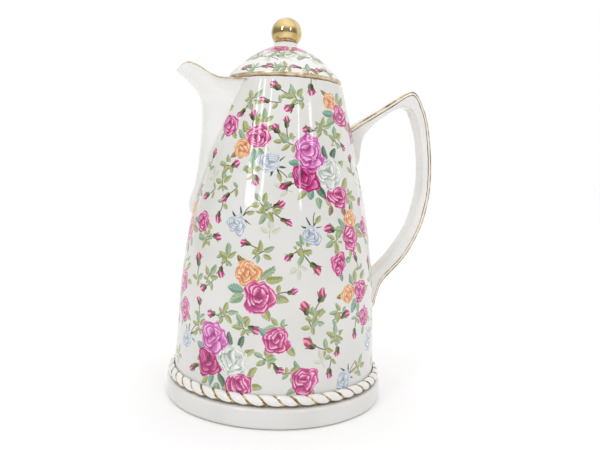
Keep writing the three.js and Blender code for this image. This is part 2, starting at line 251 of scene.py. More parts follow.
def make_spout():
    levels, columns = 90, 61
    across = np.linspace(-1, 1, columns)
    shares = np.linspace(0, 1, levels)
    fronts = spline(SPOUT_FRONT, levels - 1)
    edges = spline(SPOUT_EDGE, levels - 1)
    outside, back = [], []
    for share, front, edge in zip(shares, fronts, edges):
        outer = spout_sheet(front, edge, share, 0, across)
        outside.append(outer)
        if share < CHANNEL_SHARE:
            angle = np.radians(edge[1]) * across
            r = shell_radius(outer[:, 2]) - ROOT_SINK - 0.6
            back.append(np.stack([-r * np.cos(angle), r * np.sin(angle), outer[:, 2]], -1))
        else:
            inner = spout_sheet(front, edge, share, SPOUT_WALL * (1 - 0.3 * share), across)
            inner[:, 0] = np.minimum(inner[:, 0], -shell_radius(np.minimum(inner[:, 2], SHELL_TOP)) * 0.75)
            back.append(inner)
    outer, inner = outside[-1], back[-1]
    lip = []
    for u in np.linspace(0, 1, 7)[1:-1]:
        row = outer + (inner - outer) * (0.5 - 0.5 * math.cos(u * math.pi))
        row[:, 2] += LIP_ROLL * math.sin(u * math.pi)
        lip.append(row)
    sheets = np.array(outside + lip + back[::-1])
    rows = len(sheets)
    faces = [list(f[::-1]) for f in grid_faces(rows, columns, False)]

    def at(row, column):
        return row * columns + column

    for column, flip in ((0, False), (columns - 1, True)):
        for low in range(rows // 2):
            high = rows - 1 - low
            face = [at(low, column), at(low + 1, column), at(high - 1, column), at(high, column)]
            face = list(dict.fromkeys(face))
            if len(face) > 2:
                faces.append(face[::-1] if flip else face)
    for column in range(columns - 1):
        faces.append([at(0, column), at(0, column + 1), at(rows - 1, column + 1), at(rows - 1, column)])
    piece = make_piece("spout_glazed", sheets.reshape(-1, 3), faces, "shell", "spout")
    lip_row = levels + len(lip) // 2
    gilt = np.linalg.norm(sheets - sheets[lip_row], axis=2)
    set_number(piece, "gilt", gilt.reshape(-1))
    return piece


def set_number(piece, name, values):
    """A named number on every point of a piece."""
    attribute = piece.data.attributes.new(name, "FLOAT", "POINT")
    attribute.data.foreach_set("value", np.asarray(values, np.float32))


# ---- handle
HANDLE_OUTER = [
    (47.0, 186.5), (48.6, 187.7), (50.5, 189.1), (54, 191.6), (60.5, 196), (70, 202.2), (80, 208.9),
    (86.8, 213.0), (92.3, 214.8), (96.4, 211.8), (99.6, 206.2), (103.6, 197.3), (106.8, 183.5),
    (109.3, 164), (109.4, 143), (105.8, 123), (100.5, 109.3), (92.6, 95.6), (84, 85.8), (78.2, 79.6),
    (75.0, 74.5), (72.6, 67), (71.2, 60.5), (69.0, 57.0),
]
HANDLE_INNER = [
    (51.8, 157.5), (54.6, 163.5), (55.2, 172), (57.2, 181), (63.8, 189.4), (74, 197.6), (82.5, 202.4),
    (86.6, 203.3), (90, 202.8), (92.2, 201.4), (94, 198), (96.8, 191), (99.8, 180),
    (102, 162), (102, 146), (97.6, 125.5), (91.5, 112), (83, 99.5), (75.5, 91), (70.8, 86.6),
    (67.5, 84), (65.5, 79), (65.3, 68), (66, 59),
]
HANDLE_WIDTH = 14
HANDLE_ROUND = 2.0
FAR = 9         # stands for a distance that no gold reaches


def make_handle():
    steps = 230
    outer, inner = spline(HANDLE_OUTER, steps), spline(HANDLE_INNER, steps)
    corner = np.linspace(0, math.pi / 2, 6)
    between = np.array([0.12, 0.25, 0.5, 0.75, 0.88])[:, None]
    wide = HANDLE_WIDTH / 2
    points, gilt = [], []
    for a, b in zip(outer, inner):
        half = np.linalg.norm(a - b) / 2
        across = (a - b) / (2 * half)
        middle = (a + b) / 2
        r = min(HANDLE_ROUND, half * 0.8)
        corners = []
        for side_u, side_v in ((1, 1), (-1, 1), (-1, -1), (1, -1)):
            turn = corner if side_u == side_v else corner[::-1]
            u = side_u * (half - r + r * np.cos(turn))
            v = side_v * (wide - r + r * np.sin(turn))
            corners.append(np.stack([u, v], -1))
        ring = []
        for here, after in zip(corners, corners[1:] + corners[:1]):
            ring += [here, here[-1] + (after[0] - here[-1]) * between]
        for u, v in np.concatenate(ring):
            x, z = middle + across * u
            points.append((x, v, z))
            edge = math.hypot(half - r * 0.5 - u, wide - r * 0.35 - abs(v))
            on_outer_face = u > half - 0.1 and abs(v) < wide - r - 0.1
            gilt.append(FAR if on_outer_face else edge)
    rows = steps + 1
    columns = len(points) // rows
    faces = grid_faces(rows, columns, True).tolist()
    faces.append(list(range(columns))[::-1])
    faces.append([(rows - 1) * columns + i for i in range(columns)])
    piece = make_piece("handle_glazed", points, faces, "shell", "handle", 40)
    set_number(piece, "gilt", gilt)
    return piece


# ---- twisted moulding round the foot
TWISTS = 45
STRAND_LEAN = 0.95
ROPE_MIDDLE = (70.3, 16.5)
ROPE_HALF = (3.9, 3.5)


def make_rope():
    columns, rows = TWISTS * 22, 25
    angle = np.arange(columns) * TAU / columns
    section = np.linspace(-math.pi / 2, math.pi / 2, rows)
    a, s = np.meshgrid(angle, section)
    phase = TWISTS * a / 2 + STRAND_LEAN * s
    swell = np.abs(np.sin(phase))
    size = 0.62 + 0.38 * swell**0.6
    r = ROPE_MIDDLE[0] + ROPE_HALF[0] * size * np.cos(s)
    z = ROPE_MIDDLE[1] + ROPE_HALF[1] * (0.84 + 0.16 * swell) * np.sin(s)
    front = np.stack([r * np.cos(a), r * np.sin(a), z], -1)
    inner = ROPE_MIDDLE[0] - 0.1
    back = np.stack([inner * np.cos(a[:1]), inner * np.sin(a[:1]), np.full_like(a[:1], ROPE_MIDDLE[1])], -1)
    points = np.concatenate([front, back])
    faces = grid_faces(rows + 1, columns, True)
    last = rows * columns + np.arange(columns)
    first = np.arange(columns)
    closing = np.stack([last, np.roll(last, -1), np.roll(first, -1), first], -1)
    piece = make_piece("rope_glazed", points.reshape(-1, 3), np.vstack([faces, closing]), "shell",
                       "rope_moulding", 180)
    lower_edge = np.abs(s + 0.95 - 0.35 * (1 - swell))
    gilt = np.minimum(swell, lower_edge)
    set_number(piece, "gilt", np.concatenate([gilt, gilt[:1]]).reshape(-1))
    return piece


# ---- base, lid and knob
BASE_R, BASE_H, SPIGOT_R, FLOOR_Z = 75, 12.6, 61, 4
LID_OUTLINE = [(38.5, 216.9), (36.2, 219.9), (29.3, 226.4), (22.2, 232.2), (13.2, 237.0), (8.8, 238.6)]
lid_line = spline(LID_OUTLINE, 60)


def make_base():
    outside = rounded([(0, 0), (BASE_R, 0), (BASE_R, BASE_H), (69.3, BASE_H)], 2.6, 8)
    groove = [(69.3, 11.3), (65.1, 11.3), (65.1, BASE_H), (64, BASE_H), (64, FLOOR_Z), (SPIGOT_R, FLOOR_Z)]
    spigot = rounded([(SPIGOT_R, FLOOR_Z), (SPIGOT_R, 30), (58, 30), (58, FLOOR_Z)], 0.8, 3)
    return turned("base_glossy", outside + groove[:-1] + spigot + [(0, FLOOR_Z)], "base", "base_cover")


def make_lid():
    rim = rounded([(34, 213.8), (38.1, 213.8), (39.2, 215.2), (38.9, 216.5), (38.4, 217.0)], 0.7, 4)
    dome = lid_line.tolist()
    collar = rounded([dome[-1], (8.4, 239.0), (8.0, 240.2), (8.4, 241.4), (2.6, 241.4)], 0.5, 4)[1:]
    hollow = spline([(2.6, 235.6), (11, 234.6), (20.6, 229.2), (27.2, 223.8), (33, 218.4), (34, 213.8)], 30)
    profile = [tuple(p) for p in rim] + dome[1:] + [tuple(p) for p in collar] + hollow.tolist()[:-1]
    return turned("lid_glazed", profile, "lid", "lid_dome", 240)


def make_knob():
    middle, radius, seat = 248.6, 10.4, 241.7
    turn = np.linspace(0, math.acos((seat + 0.5 - middle) / radius), 60)
    ball = [(radius * math.sin(t), middle + radius * math.cos(t)) for t in turn]
    ball[0] = (0, middle + radius)
    foot = [(7.3, seat + 0.1), (6.9, seat), (2.3, seat), (2.3, 249.9), (0, 249.9)]
    return turned("knob_gilded", ball + foot, "lid", "knob_ball", 96)


shell = make_shell()
spout = make_spout()
handle = make_handle()
rope = make_rope()
base = make_base()
lid = make_lid()
knob = make_knob()


# ---------------------------------------------------------------- node arithmetic
def srgb(red, green, blue):
    """Linear colour from everyday 0 to 255 values."""
    shares = [v / 255 for v in (red, green, blue)]
    return tuple(v / 12.92 if v < 0.04 else ((v + 0.055) / 1.055) ** 2.4 for v in shares) + (1,)


class Signal:
    """A number flowing through a node tree, so that a pattern reads as arithmetic."""

    def __init__(self, tree, socket):
        self.tree, self.socket = tree, socket

    def math(self, operation, *others):
        node = self.tree.nodes.new("ShaderNodeMath")
        node.operation = operation
        for entry, value in zip(node.inputs, (self, *others)):
            connect(self.tree, value, entry)
        return Signal(self.tree, node.outputs[0])

    def __add__(self, other):
        return self.math("ADD", other)

    def __sub__(self, other):
        return self.math("SUBTRACT", other)

    def __mul__(self, other):
        return self.math("MULTIPLY", other)

    def __truediv__(self, other):
        return self.math("DIVIDE", other)

    def __rsub__(self, other):
        return (self * -1).math("ADD", other)

    __radd__, __rmul__ = __add__, __mul__

    def min(self, other):
        return self.math("MINIMUM", other)

    def max(self, other):
        return self.math("MAXIMUM", other)

    def abs(self):
        return self.math("ABSOLUTE")

    def sqrt(self):
        return self.math("SQRT")

    def sin(self):
        return self.math("SINE")

    def cos(self):
        return self.math("COSINE")

    def fract(self):
        return self.math("FRACT")

    def power(self, other):
        return self.math("POWER", other)

    def atan2(self, other):
        return self.math("ARCTAN2", other)

    def step(self, low, high):
        """0 below low, 1 above high, smooth between; low above high turns it round."""
        node = self.tree.nodes.new("ShaderNodeMapRange")
        node.interpolation_type = "SMOOTHSTEP"
        flip = low > high
        for name, value in (("Value", self), ("From Min", min(low, high)), ("From Max", max(low, high)),
                            ("To Min", float(flip)), ("To Max", float(not flip))):
            connect(self.tree, value, node.inputs[name])
        return Signal(self.tree, node.outputs["Result"])

    def towards(self, other, share):
        return self + (other - self) * share


def connect(tree, value, entry):
    if isinstance(value, Signal):
        tree.links.new(value.socket, entry)
    elif isinstance(value, bpy.types.NodeSocket):
        tree.links.new(value, entry)
    else:
        entry.default_value = value


def over(tree, share, below, above):
    """Colour above laid over colour below."""
    node = tree.nodes.new("ShaderNodeMix")
    node.data_type = "RGBA"
    connect(tree, share, node.inputs[0])
    connect(tree, below, node.inputs[6])
    connect(tree, above, node.inputs[7])
    return node.outputs[2]


def noise(tree, size, detail=2.0):
    """Noise with features of about size millimetres: its value, and two more as a way to wander."""
    place = tree.nodes.new("ShaderNodeTexCoord")
    node = tree.nodes.new("ShaderNodeTexNoise")
    node.inputs["Scale"].default_value = 1 / (size * MM)
    node.inputs["Detail"].default_value = detail
    tree.links.new(place.outputs["Object"], node.inputs["Vector"])
    parts = tree.nodes.new("ShaderNodeSeparateColor")
    tree.links.new(node.outputs["Color"], parts.inputs[0])
    wander = [Signal(tree, parts.outputs[i]) - 0.5 for i in (0, 1)]
    return Signal(tree, node.outputs["Fac"]), wander


def bump(tree, shader, height, distance):
    """Fine relief: height is a signal from 0 to 1, distance its depth in millimetres."""
    node = tree.nodes.new("ShaderNodeBump")
    node.inputs["Distance"].default_value = distance * MM
    connect(tree, height, node.inputs["Height"])
    tree.links.new(node.outputs["Normal"], shader.inputs["Normal"])


def new_material(name, metallic=0.0, **inputs):
    material = bpy.data.materials.new(name)
    material.use_nodes = True
    shader = material.node_tree.nodes["Principled BSDF"]
    shader.inputs["Metallic"].default_value = metallic
    for key, value in inputs.items():
        shader.inputs[key.replace("_", " ").title()].default_value = value
    return material, material.node_tree, shader


# ---------------------------------------------------------------- printed roses
# each tone is a dark, a middle and a light colour
ROSE_TONES = {
    "orchid": ((146, 30, 112), (208, 100, 178), (246, 192, 232)),
    "magenta": ((104, 0, 58), (186, 22, 116), (228, 122, 180)),
    "white": ((148, 158, 150), (212, 218, 211), (246, 247, 244)),
    "pink": ((138, 14, 82), (206, 68, 140), (248, 196, 222)),
    "blue": ((142, 152, 166), (194, 202, 212), (234, 238, 242)),
    "peach": ((192, 110, 66), (230, 168, 120), (250, 222, 186)),
    "rosy": ((138, 18, 66), (206, 72, 124), (246, 184, 202)),
}
LEAF_TONES = {
    "olive": ((92, 96, 46), (146, 152, 90), (192, 196, 142)),
    "sage": ((78, 106, 76), (132, 158, 124), (180, 200, 166)),
    "teal": ((56, 92, 84), (104, 144, 128), (158, 188, 168)),
    "dark": ((20, 38, 34), (62, 92, 76), (124, 150, 124)),
    "brown": ((74, 54, 34), (122, 98, 66), (172, 152, 112)),
    "pale": ((176, 176, 156), (202, 202, 184), (224, 224, 210)),
}
TONE_NAMES = {"rose": list(ROSE_TONES), "bud": list(ROSE_TONES), "leaf": list(LEAF_TONES),
              "stem": list(LEAF_TONES), "sepal": list(LEAF_TONES)}
LAYERS = {"stem": 2, "sepal": 1, "leaf": 4, "bud": 2, "rose": 3}
EXTENT = {
    "stem": (0.30, 1.05), "sepal": (1.1, 1.1), "leaf": (0.56, 1.06),
    "bud": (0.58, 1.08), "rose": (1.12, 1.12),
}
TONE_SLOTS = 8          # a tone's code is its place in its list, in eighths
NO_MOTIF = 9            # a place that no motif reaches
SKIN = 1.6              # how far below the outline still counts as the printed face, in millimetres
MARGIN = 1.2            # room kept round a motif for its rough edges, in millimetres
SWAY = 4.5              # how strong the broad wander of the edges is beside the fine one

# motifs of a spray: kind, right, up (millimetres), size, turn (degrees, anticlockwise), tone
BOUQUET = [
    ("leaf", -15, 6.5, 5.4, 75, "teal"), ("leaf", -15.5, -1, 4.4, 115, "sage"),
    ("leaf", 14, 13.5, 4.8, -25, "dark"), ("leaf", 6.5, 14.5, 4.6, 5, "dark"),
    ("leaf", 19, 7.5, 4.8, -60, "olive"), ("leaf", 21.5, -5, 5, -40, "olive"),
    ("leaf", -5.5, -12.5, 4.8, 165, "teal"), ("leaf", 1.5, -11.5, 4.8, 200, "dark"),
    ("leaf", -11, -13.5, 4.2, 135, "olive"), ("leaf", -1, -18, 4.4, 185, "sage"),
    ("leaf", 5.5, -17, 4.2, 215, "olive"), ("leaf", 24, -13, 4.4, -80, "olive"),
    ("leaf", 17, -23.5, 4.2, 190, "brown"), ("leaf", 7, -23, 3.8, 150, "brown"),
    ("stem", -16, -6, 5, 120, "brown"), ("bud", -20.5, -8, 5.4, 118, "magenta"),
    ("rose", -8, -2, 9.8, 20, "magenta"), ("rose", 14, -14, 9, -20, "pink"),
    ("rose", 8.6, 1.2, 10.3, 0, "white"), ("rose", -5, 14, 11, 10, "orchid"),
]
PAIR = [
    ("leaf", -9.5, 0, 4.8, 70, "teal"), ("leaf", -10, -4.5, 4.6, 100, "sage"),
    ("leaf", 7, 4.5, 4.8, -60, "sage"), ("leaf", 10.5, 0.5, 4.8, -85, "olive"),
    ("leaf", 11.5, -9, 4.6, -120, "olive"), ("leaf", -4, 12.5, 3.8, 20, "brown"),
    ("leaf", 3, -15, 4, 195, "olive"), ("rose", -2.5, 6.5, 6.8, 40, "peach"),
    ("rose", 1, -6, 8.2, -15, "pink"),
]
SINGLE = [
    ("leaf", -6.5, 5, 3.6, 40, "teal"), ("leaf", 6, -6, 3.8, 215, "olive"),
    ("leaf", -5, -7, 3.4, 150, "sage"), ("rose", 0, 0, 7.4, 0, "pink"),
]
BLUE = [
    ("sepal", 0.5, 2.6, 8.6, 0, "dark"), ("stem", 3.4, 9, 4.2, -20, "brown"),
    ("leaf", 6.4, 8, 3, -50, "olive"), ("rose", 0, -1.5, 6.8, 30, "blue"),
]
BUD = [
    ("stem", 0, -6.2, 4.6, 0, "brown"), ("leaf", -2.8, -7.6, 2.8, 60, "olive"),
    ("leaf", 2.6, -9.6, 2.6, -70, "sage"), ("bud", 0, 0, 5.2, 0, "pink"),
]
ROSEBUD = [
    ("stem", 0.4, -8.4, 5.4, 0, "brown"), ("leaf", 3.4, -10.5, 3.4, -60, "sage"),
    ("leaf", -3.4, -11, 3.4, 70, "olive"), ("leaf", 0.5, -14.5, 3.0, 175, "olive"),
    ("bud", 0, 0, 7, 0, "rosy"),
]
SPRIG = [
    ("stem", 0, -2.5, 5, 5, "brown"), ("leaf", 0, 3.8, 3.8, 0, "sage"), ("leaf", -3.6, 0, 3.6, 62, "olive"),
    ("leaf", 3.6, 0.4, 3.4, -58, "olive"), ("leaf", 1.6, -5, 2.8, -120, "sage"),
    ("leaf", -2.2, -4.4, 2.6, 118, "olive"),
]
PALE_SPRIG = [
    ("stem", 0, -2, 4, -8, "pale"), ("leaf", 0, 3.2, 3.6, 0, "pale"), ("leaf", -3.4, -0.8, 3.2, 60, "pale"),
    ("leaf", 3.4, -0.4, 3.2, -60, "pale"),
]
TWIG = [
    ("stem", 0, 0, 5.6, 0, "dark"), ("stem", 1.6, -0.5, 3.6, -38, "brown"),
    ("leaf", 1.8, 4, 2.8, -30, "brown"), ("leaf", -1.8, 0.5, 3.2, 60, "sage"),
    ("leaf", 2.2, -2.4, 2.6, -70, "pale"),
]
SPRAYS = {
    "bouquet": BOUQUET, "pair": PAIR, "single": SINGLE, "blue": BLUE, "bud": BUD, "rosebud": ROSEBUD,
    "sprig": SPRIG, "pale": PALE_SPRIG, "twig": TWIG,
}

# one printed sheet covers a third of the shell: spray, angle and height on the shell, turn
SHEET_TURN = 120
SHEET = """
bouquet 285 153 0, bouquet 231 37 0, pair 248 85 14 1.25, pair 236 172 112, pair 310 196 29
pair 309 119 -24, pair 308 80 80, single 214 182 0, single 207 120 30, single 261 53 10 1.2
single 276 28 -20 1.2, single 296 98 140, single 318 62 20, blue 253 159 -110, blue 235 122 -15
blue 279 117 10, blue 205 45 -20, blue 300 25 -25, bud 252 207 60, bud 284 206 180, bud 224 190 135
bud 236 188 10, bud 265 194 120, bud 263 184 5, bud 255 180 30, bud 279 180 95, bud 201 164 -5
bud 243 148 -150, bud 227 157 -60, bud 204 137 115, bud 224 137 130, bud 312 172 -125, bud 259 134 -60
bud 221 124 170, bud 264 124 -120, bud 291 120 80, bud 222 112 -85, bud 241 110 75, bud 266 103 130
bud 310 102 30, bud 228 91 180, bud 216 80 120, bud 268 83 -75, bud 300 66 -80, bud 214 71 10
bud 224 65 85, bud 249 59 -120, bud 294 44 180, bud 262 36 -125, bud 289 31 170, bud 212 28 120
bud 308 53 175, bud 244 198 80, bud 275 152 180, rosebud 281 96 -135, rosebud 209 96 8
rosebud 284 80 -20, rosebud 278 50 70, rosebud 275 72 20, sprig 269 202 20, sprig 234 199 -45
sprig 245 186 0, sprig 265 172 60, sprig 293 183 -80, sprig 241 154 10, sprig 220 157 80
sprig 219 147 10, sprig 304 177 0, sprig 248 135 40, sprig 252 128 150, sprig 293 112 120
sprig 212 110 90, sprig 252 105 -60, sprig 274 110 20, sprig 231 102 0, sprig 221 89 -30
sprig 281 67 20, sprig 295 68 90, sprig 215 57 10, sprig 234 67 -80, sprig 243 61 30, sprig 260 61 100
sprig 293 55 0, sprig 255 42 60, sprig 270 32 -100, sprig 313 31 -20, sprig 312 138 180, pale 255 119 0
pale 271 95 190, pale 285 41 20, pale 262 144 70, pale 247 171 -60, pale 300 137 0, pale 208 150 20
"""
LID_TURN = 120
LID_SHEET = """
single 250 235 0, single 212 235.5 40 0.8, single 290 235 70 0.8, twig 220 229 70 1.4, pale 231 231 0
twig 243 228 -80 1.5, twig 256 231 95 1.3, pale 264 228 20, twig 270 231 60 1.3, twig 283 229 80 1.4
pale 295 231 0, twig 304 228 -80 1.4, sprig 316 231 60, twig 330 229 90 1.4, bud 214 220 60
twig 226 219.5 90 1.2, bud 240 220 -80, twig 252 219.5 95 1.3, sprig 259 220 80, bud 271 220 75
twig 283 219.5 -90 1.2, bud 297 220 100, twig 312 219.5 90 1.2
"""


def read_sheet(text, repeat):
    """Every motif of a sheet, repeated round the pot: kind, angle, height, right, up, size, turn, tone.

    An entry is spray, angle, height, turn and, for one that is larger or smaller, its scale.
    """
    for entry in text.replace("\n", ",").split(","):
        if not entry.strip():
            continue
        spray, angle, height, turn, *grow = entry.split()
        lean = math.radians(float(turn))
        grow = float(grow[0]) if grow else 1
        for kind, right, up, size, own_turn, tone in SPRAYS[spray]:
            across = (right * math.cos(lean) - up * math.sin(lean)) * grow
            along = (right * math.sin(lean) + up * math.cos(lean)) * grow
            for copy in range(int(360 / repeat)):
                yield (kind, math.radians(float(angle) + copy * repeat), float(height), across, along,
                       size * grow, math.radians(own_turn) + lean, tone)


def print_sheet(piece, line, text, repeat, scale=1.0):
    """Lays the sheet on a turned piece: every corner gets its place within the motif that covers its face.

    line is the piece's outline, (radius, height) from the bottom up. Each layer is a corner attribute that
    holds the place across and along the motif, from -1 to 1, and the code of its tone.
    """
    mesh = piece.data
    count = len(mesh.loops)
    corner = np.empty(count, int)
    mesh.loops.foreach_get("vertex_index", corner)
    place = np.empty(len(mesh.vertices) * 3)
    mesh.vertices.foreach_get("co", place)
    place = place.reshape(-1, 3)[corner] / MM
    start = np.array([p.loop_start for p in mesh.polygons])
    total = np.array([p.loop_total for p in mesh.polygons])
    face_of = np.repeat(np.arange(len(start)), total)
    radius = np.hypot(place[:, 0], place[:, 1])
    angle = np.arctan2(place[:, 1], place[:, 0])
    climb = np.concatenate([[0], np.cumsum(np.hypot(*np.diff(line, axis=0).T))])
    along = np.interp(place[:, 2], line[:, 1], climb)
    skin = radius > np.interp(place[:, 2], line[:, 1], line[:, 0]) - SKIN
    skin &= place[:, 2] <= line[-1, 1]

    def mean(values):
        return np.bincount(face_of, values) / total

    face_skin = mean(skin.astype(float)) > 0.99
    face_angle = np.arctan2(mean(np.sin(angle)), mean(np.cos(angle)))
    face_along = mean(along)
    keys = [(kind, i) for kind, number in LAYERS.items() for i in range(number)]
    layers = {key: np.full((count, 3), NO_MOTIF, np.float32) for key in keys}
    taken = {key: np.zeros(len(start), bool) for key in layers}
    for kind, turn0, height, right, up, size, turn, tone in read_sheet(text, repeat):
        girth = np.interp(height, line[:, 1], line[:, 0])
        middle = np.interp(height, line[:, 1], climb)
        size = size * scale

        def local(angles, alongs):
            x = ((angles - turn0 + math.pi) % TAU - math.pi) * girth - right * scale
            y = alongs - middle - up * scale
            across = (x * math.cos(turn) + y * math.sin(turn)) / size
            return across, (y * math.cos(turn) - x * math.sin(turn)) / size

        p, q = local(face_angle, face_along)
        wide, tall = EXTENT[kind]
        margin = MARGIN / size
        hit = face_skin & (np.abs(p) < wide + margin) & (np.abs(q) < tall + margin)
        if kind == "rose":
            hit &= np.hypot(p, q) < wide + margin
        shared = [int((taken[kind, i] & hit).sum()) for i in range(LAYERS[kind])]
        layer = shared.index(min(shared))
        if kind == "rose" and any(shared):
            layer = min(max(i for i, faces in enumerate(shared) if faces) + 1, LAYERS[kind] - 1)
        hit &= ~taken[kind, layer]
        taken[kind, layer] |= hit
        on = hit[face_of]
        p, q = local(angle[on], along[on])
        code = (TONE_NAMES[kind].index(tone) + 0.5) / TONE_SLOTS
        layers[kind, layer][on] = np.stack([p, q, np.full_like(p, code)], -1)
    for (kind, i), values in layers.items():
        attribute = mesh.attributes.new(f"{kind}{i}", "FLOAT_VECTOR", "CORNER")
        attribute.data.foreach_set("vector", values.reshape(-1))


def read_layer(tree, name, wander, amount):
    """Place across and along the motif, roughened by noise, and its tone."""
    node = tree.nodes.new("ShaderNodeAttribute")
    node.attribute_name = name
    parts = tree.nodes.new("ShaderNodeSeparateXYZ")
    tree.links.new(node.outputs["Vector"], parts.inputs[0])
    p, q, tone = (Signal(tree, s) for s in parts.outputs)
    return p + wander[0] * amount, q + wander[1] * amount, tone


def tone_color(tree, tones, tone, light):
    """Colour of a tone at a light from 0 (dark) to 1 (light)."""
    shades = []
    for shade in range(3):
        ramp = tree.nodes.new("ShaderNodeValToRGB")
        ramp.color_ramp.interpolation = "CONSTANT"
        stops = ramp.color_ramp.elements
        while len(stops) < len(tones):
            stops.new(len(stops) / TONE_SLOTS)
        for i, colors in enumerate(tones.values()):
            stops[i].position = i / TONE_SLOTS
            stops[i].color = srgb(*colors[shade])
        connect(tree, tone, ramp.inputs[0])
        shades.append(ramp.outputs[0])
    return over(tree, light.step(0.5, 1), over(tree, light.step(0, 0.5), shades[0], shades[1]), shades[2])


# petals in a ring, how far out their middles lie, their size, the ring's turn and how high its middle sits
PETAL_RINGS = [
    (7, 0.60, 0.41, 0.15, 0.0), (5, 0.42, 0.45, 0.62, 0.03),
    (4, 0.27, 0.38, 0.1, 0.12), (3, 0.13, 0.27, 0.5, 0.20),
]


def rose(p, q, fleck):
    """Light and cover of an open rose that fills the unit circle, seen a little from below."""
    light = cover = None
    for petals, out, size, turn, rise in PETAL_RINGS:
        reach = (p * p + (q - rise) * (q - rise)).sqrt()
        sector = ((q - rise).atan2(p) * (petals / TAU) + turn).fract() - 0.5
        x = reach * (sector * (TAU / petals)).cos() - out
        y = reach * (sector * (TAU / petals)).sin()
        far = (x * x + y * y * 0.8).sqrt() / size
        inside = far.step(1.0, 0.93)
        shade = 0.06 + (x / size).step(-0.5, 0.75) * 0.60 + y * (0.40 / size) + far.step(0.72, 0.94) * 0.34
        if light is None:
            light, cover = shade + 0.14, inside
        else:
            light = (light * (far.step(1.0, 1.5) * 0.65 + 0.35)).towards(shade, inside)
            cover = cover.max(inside)
    heart = (p * p + (q - 0.26) * (q - 0.26)).step(0.004, 0.03)
    return light * (heart * 0.7 + 0.3) + (p + q) * 0.08 + fleck * 0.45, cover


def bud(p, q, fleck):
    """Light and cover of a closed bud that points along +q."""
    belly = (p * p * 6.4 + (q - 0.18) * (q - 0.18) * 2.7).sqrt()
    folds = (p * 13 + q * 3.5).sin() * 0.24
    light = 0.58 - p.abs() * 1.1 + folds + q * 0.2 + belly.step(0.78, 0.95) * 0.22 + fleck * 0.5
    return light.min(0.86), belly.step(1.0, 0.9)


def cup(p, q):
    """Cover of the pointed sepals round the foot of a bud."""
    points = (p * 10.0).cos() * 0.2 - 0.05
    foot = (p * p * 9 + (q + 0.32) * (q + 0.32) * 6).sqrt()
    spike = (p.abs() - 0.36 - q * 0.45).abs().step(0.07, 0.03) * q.abs().step(0.36, 0.30)
    return (foot.step(1.0, 0.92) * (q - points).step(0.05, -0.02)).max(spike)


def leaf(p, q, fleck):
    """Light and cover of a leaf that points along +q."""
    edge = (1 - q * q).max(0.0).power(0.75) * (0.50 - 0.10 * q) + (q * 26).sin() * 0.025
    cover = (edge - p.abs()).step(0.0, 0.05)
    rib = p.abs().step(0.05, 0.015)
    veins = ((q - p.abs() * 0.9) * 17).sin() * 0.10
    light = 0.50 + (p * 3).step(-0.3, 0.3) * 0.26 + veins + rib * 0.35 + fleck * 0.3
    return light, cover


def stem(p, q, fleck):
    """Light and cover of a thin bent stem along q."""
    line = (p - q * q * 0.16 + 0.08).abs()
    return fleck * 0.4 + 0.35, line.step(0.10, 0.05) * q.abs().step(1.0, 0.9)


def sepals(p, q, fleck):
    """Light and cover of the dark spiky sepals behind a blue rose."""
    reach = (p * p + q * q).sqrt()
    spikes = (q.atan2(p) * 3.5).sin().abs()
    cover = (reach + spikes * 0.95).step(1.0, 0.92) * (q + p.abs() * 0.2).step(-0.25, -0.1)
    return fleck * 0.5 + 0.25, cover


def printed(tree, below):
    """The print, laid over a glaze colour from the stems up to the roses."""
    fleck, wander = noise(tree, 1.4, 3.0)
    fleck = fleck - 0.5
    _, sway = noise(tree, 7, 0.0)
    wander = [fine + broad * SWAY for fine, broad in zip(wander, sway)]
    color = below
    for kind, paint, tones, rough in (
        ("stem", stem, LEAF_TONES, 0.06), ("sepal", sepals, LEAF_TONES, 0.10),
        ("leaf", leaf, LEAF_TONES, 0.14), ("bud", bud, ROSE_TONES, 0.14), ("rose", rose, ROSE_TONES, 0.16),
    ):
        for i in range(LAYERS[kind]):
            p, q, tone = read_layer(tree, f"{kind}{i}", wander, rough)
            light, cover = paint(p, q, fleck)
            color = over(tree, cover * 0.97, color, tone_color(tree, tones, tone, light))
            if kind == "bud":
                green = over(tree, (p * 3 + fleck).step(-0.6, 0.6), srgb(58, 56, 34), srgb(122, 126, 78))
                color = over(tree, cup(p, q), color, green)
    return color


# ---------------------------------------------------------------- glaze and gilding
# the shell's white is darker than the plain white of the other porcelain: painted shade for the greyer light
# on the body
SHELL_SHADED_WHITE, BASE_WHITE, PLAIN_WHITE = (227, 226, 223), (230, 228, 226), (240, 239, 237)
# dark and light gold and how metallic it is: worn thin on the rims, full on the outlines
RIM_GOLD = ((186, 160, 126), (232, 214, 186), 0.5)
LINE_GOLD = ((132, 108, 62), (218, 194, 148), 0.95)
LINE_FADE, RIM_FADE = 0.2, 0.15     # millimetres over which a gold line or band ends


